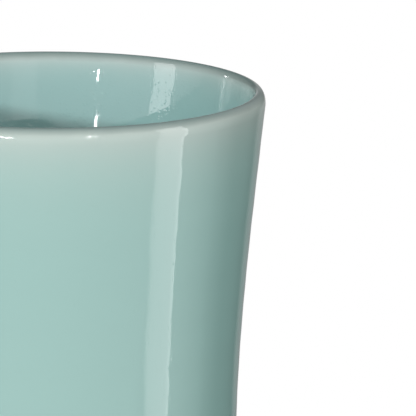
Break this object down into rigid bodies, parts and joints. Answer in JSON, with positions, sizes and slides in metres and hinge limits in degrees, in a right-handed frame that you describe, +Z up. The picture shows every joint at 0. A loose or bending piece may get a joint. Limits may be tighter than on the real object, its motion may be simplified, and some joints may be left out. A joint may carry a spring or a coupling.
{
  "type": "brush holder pot",
  "caption": "Tall round glazed pot with a flared mouth and a trimmed foot ring, open at the top, that stands brushes upright.",
  "frame": {"origin": "centre of the foot ring's resting face, on the table's surface", "axes": "+Z up along the pot's axis of revolution, from the foot to the mouth"},
  "size_m": [0.106, 0.106, 0.137],
  "materials": {
    "bare_clay": "matte",
    "outer_celadon": "gloss",
    "inner_celadon": "gloss",
    "well_celadon": "gloss"
  },
  "bodies": {
    "root": {"clay_body": "bare_clay", "outer_glaze": "outer_celadon", "inner_glaze": "inner_celadon", "foot_well_glaze": "well_celadon"}
  },
  "joints": []
}
